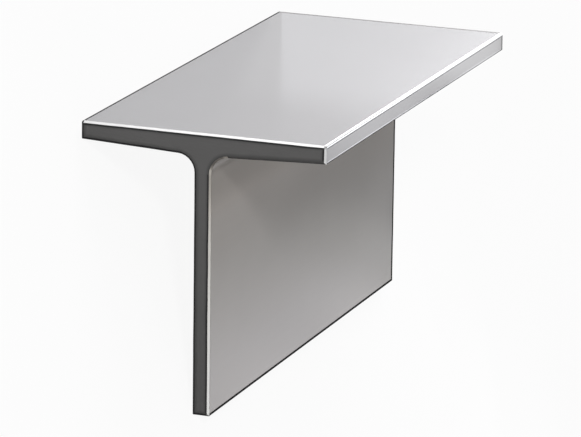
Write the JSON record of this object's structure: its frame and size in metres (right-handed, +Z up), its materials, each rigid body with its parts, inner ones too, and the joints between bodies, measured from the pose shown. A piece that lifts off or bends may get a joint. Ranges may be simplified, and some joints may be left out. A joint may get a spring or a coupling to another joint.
{
  "type": "tee bar",
  "caption": "Short length of steel tee stock with a wide flange, a central web and root fillets, sawn square at both ends and lying on its side.",
  "frame": {"origin": "on the floor, under the middle of the bar's bounding box, with the bar lying unheld on its side", "axes": "+Y along the bar, +Z up; the bar rests on one inner flange edge and one toe edge, so its flange face looks towards -X and up, and its web slopes down towards +X"},
  "size_m": [0.1236, 0.21, 0.0939],
  "materials": {
    "steel": "satin mill finish with sawn ends"
  },
  "bodies": {
    "root": {"tee_bar": "steel"}
  },
  "joints": []
}
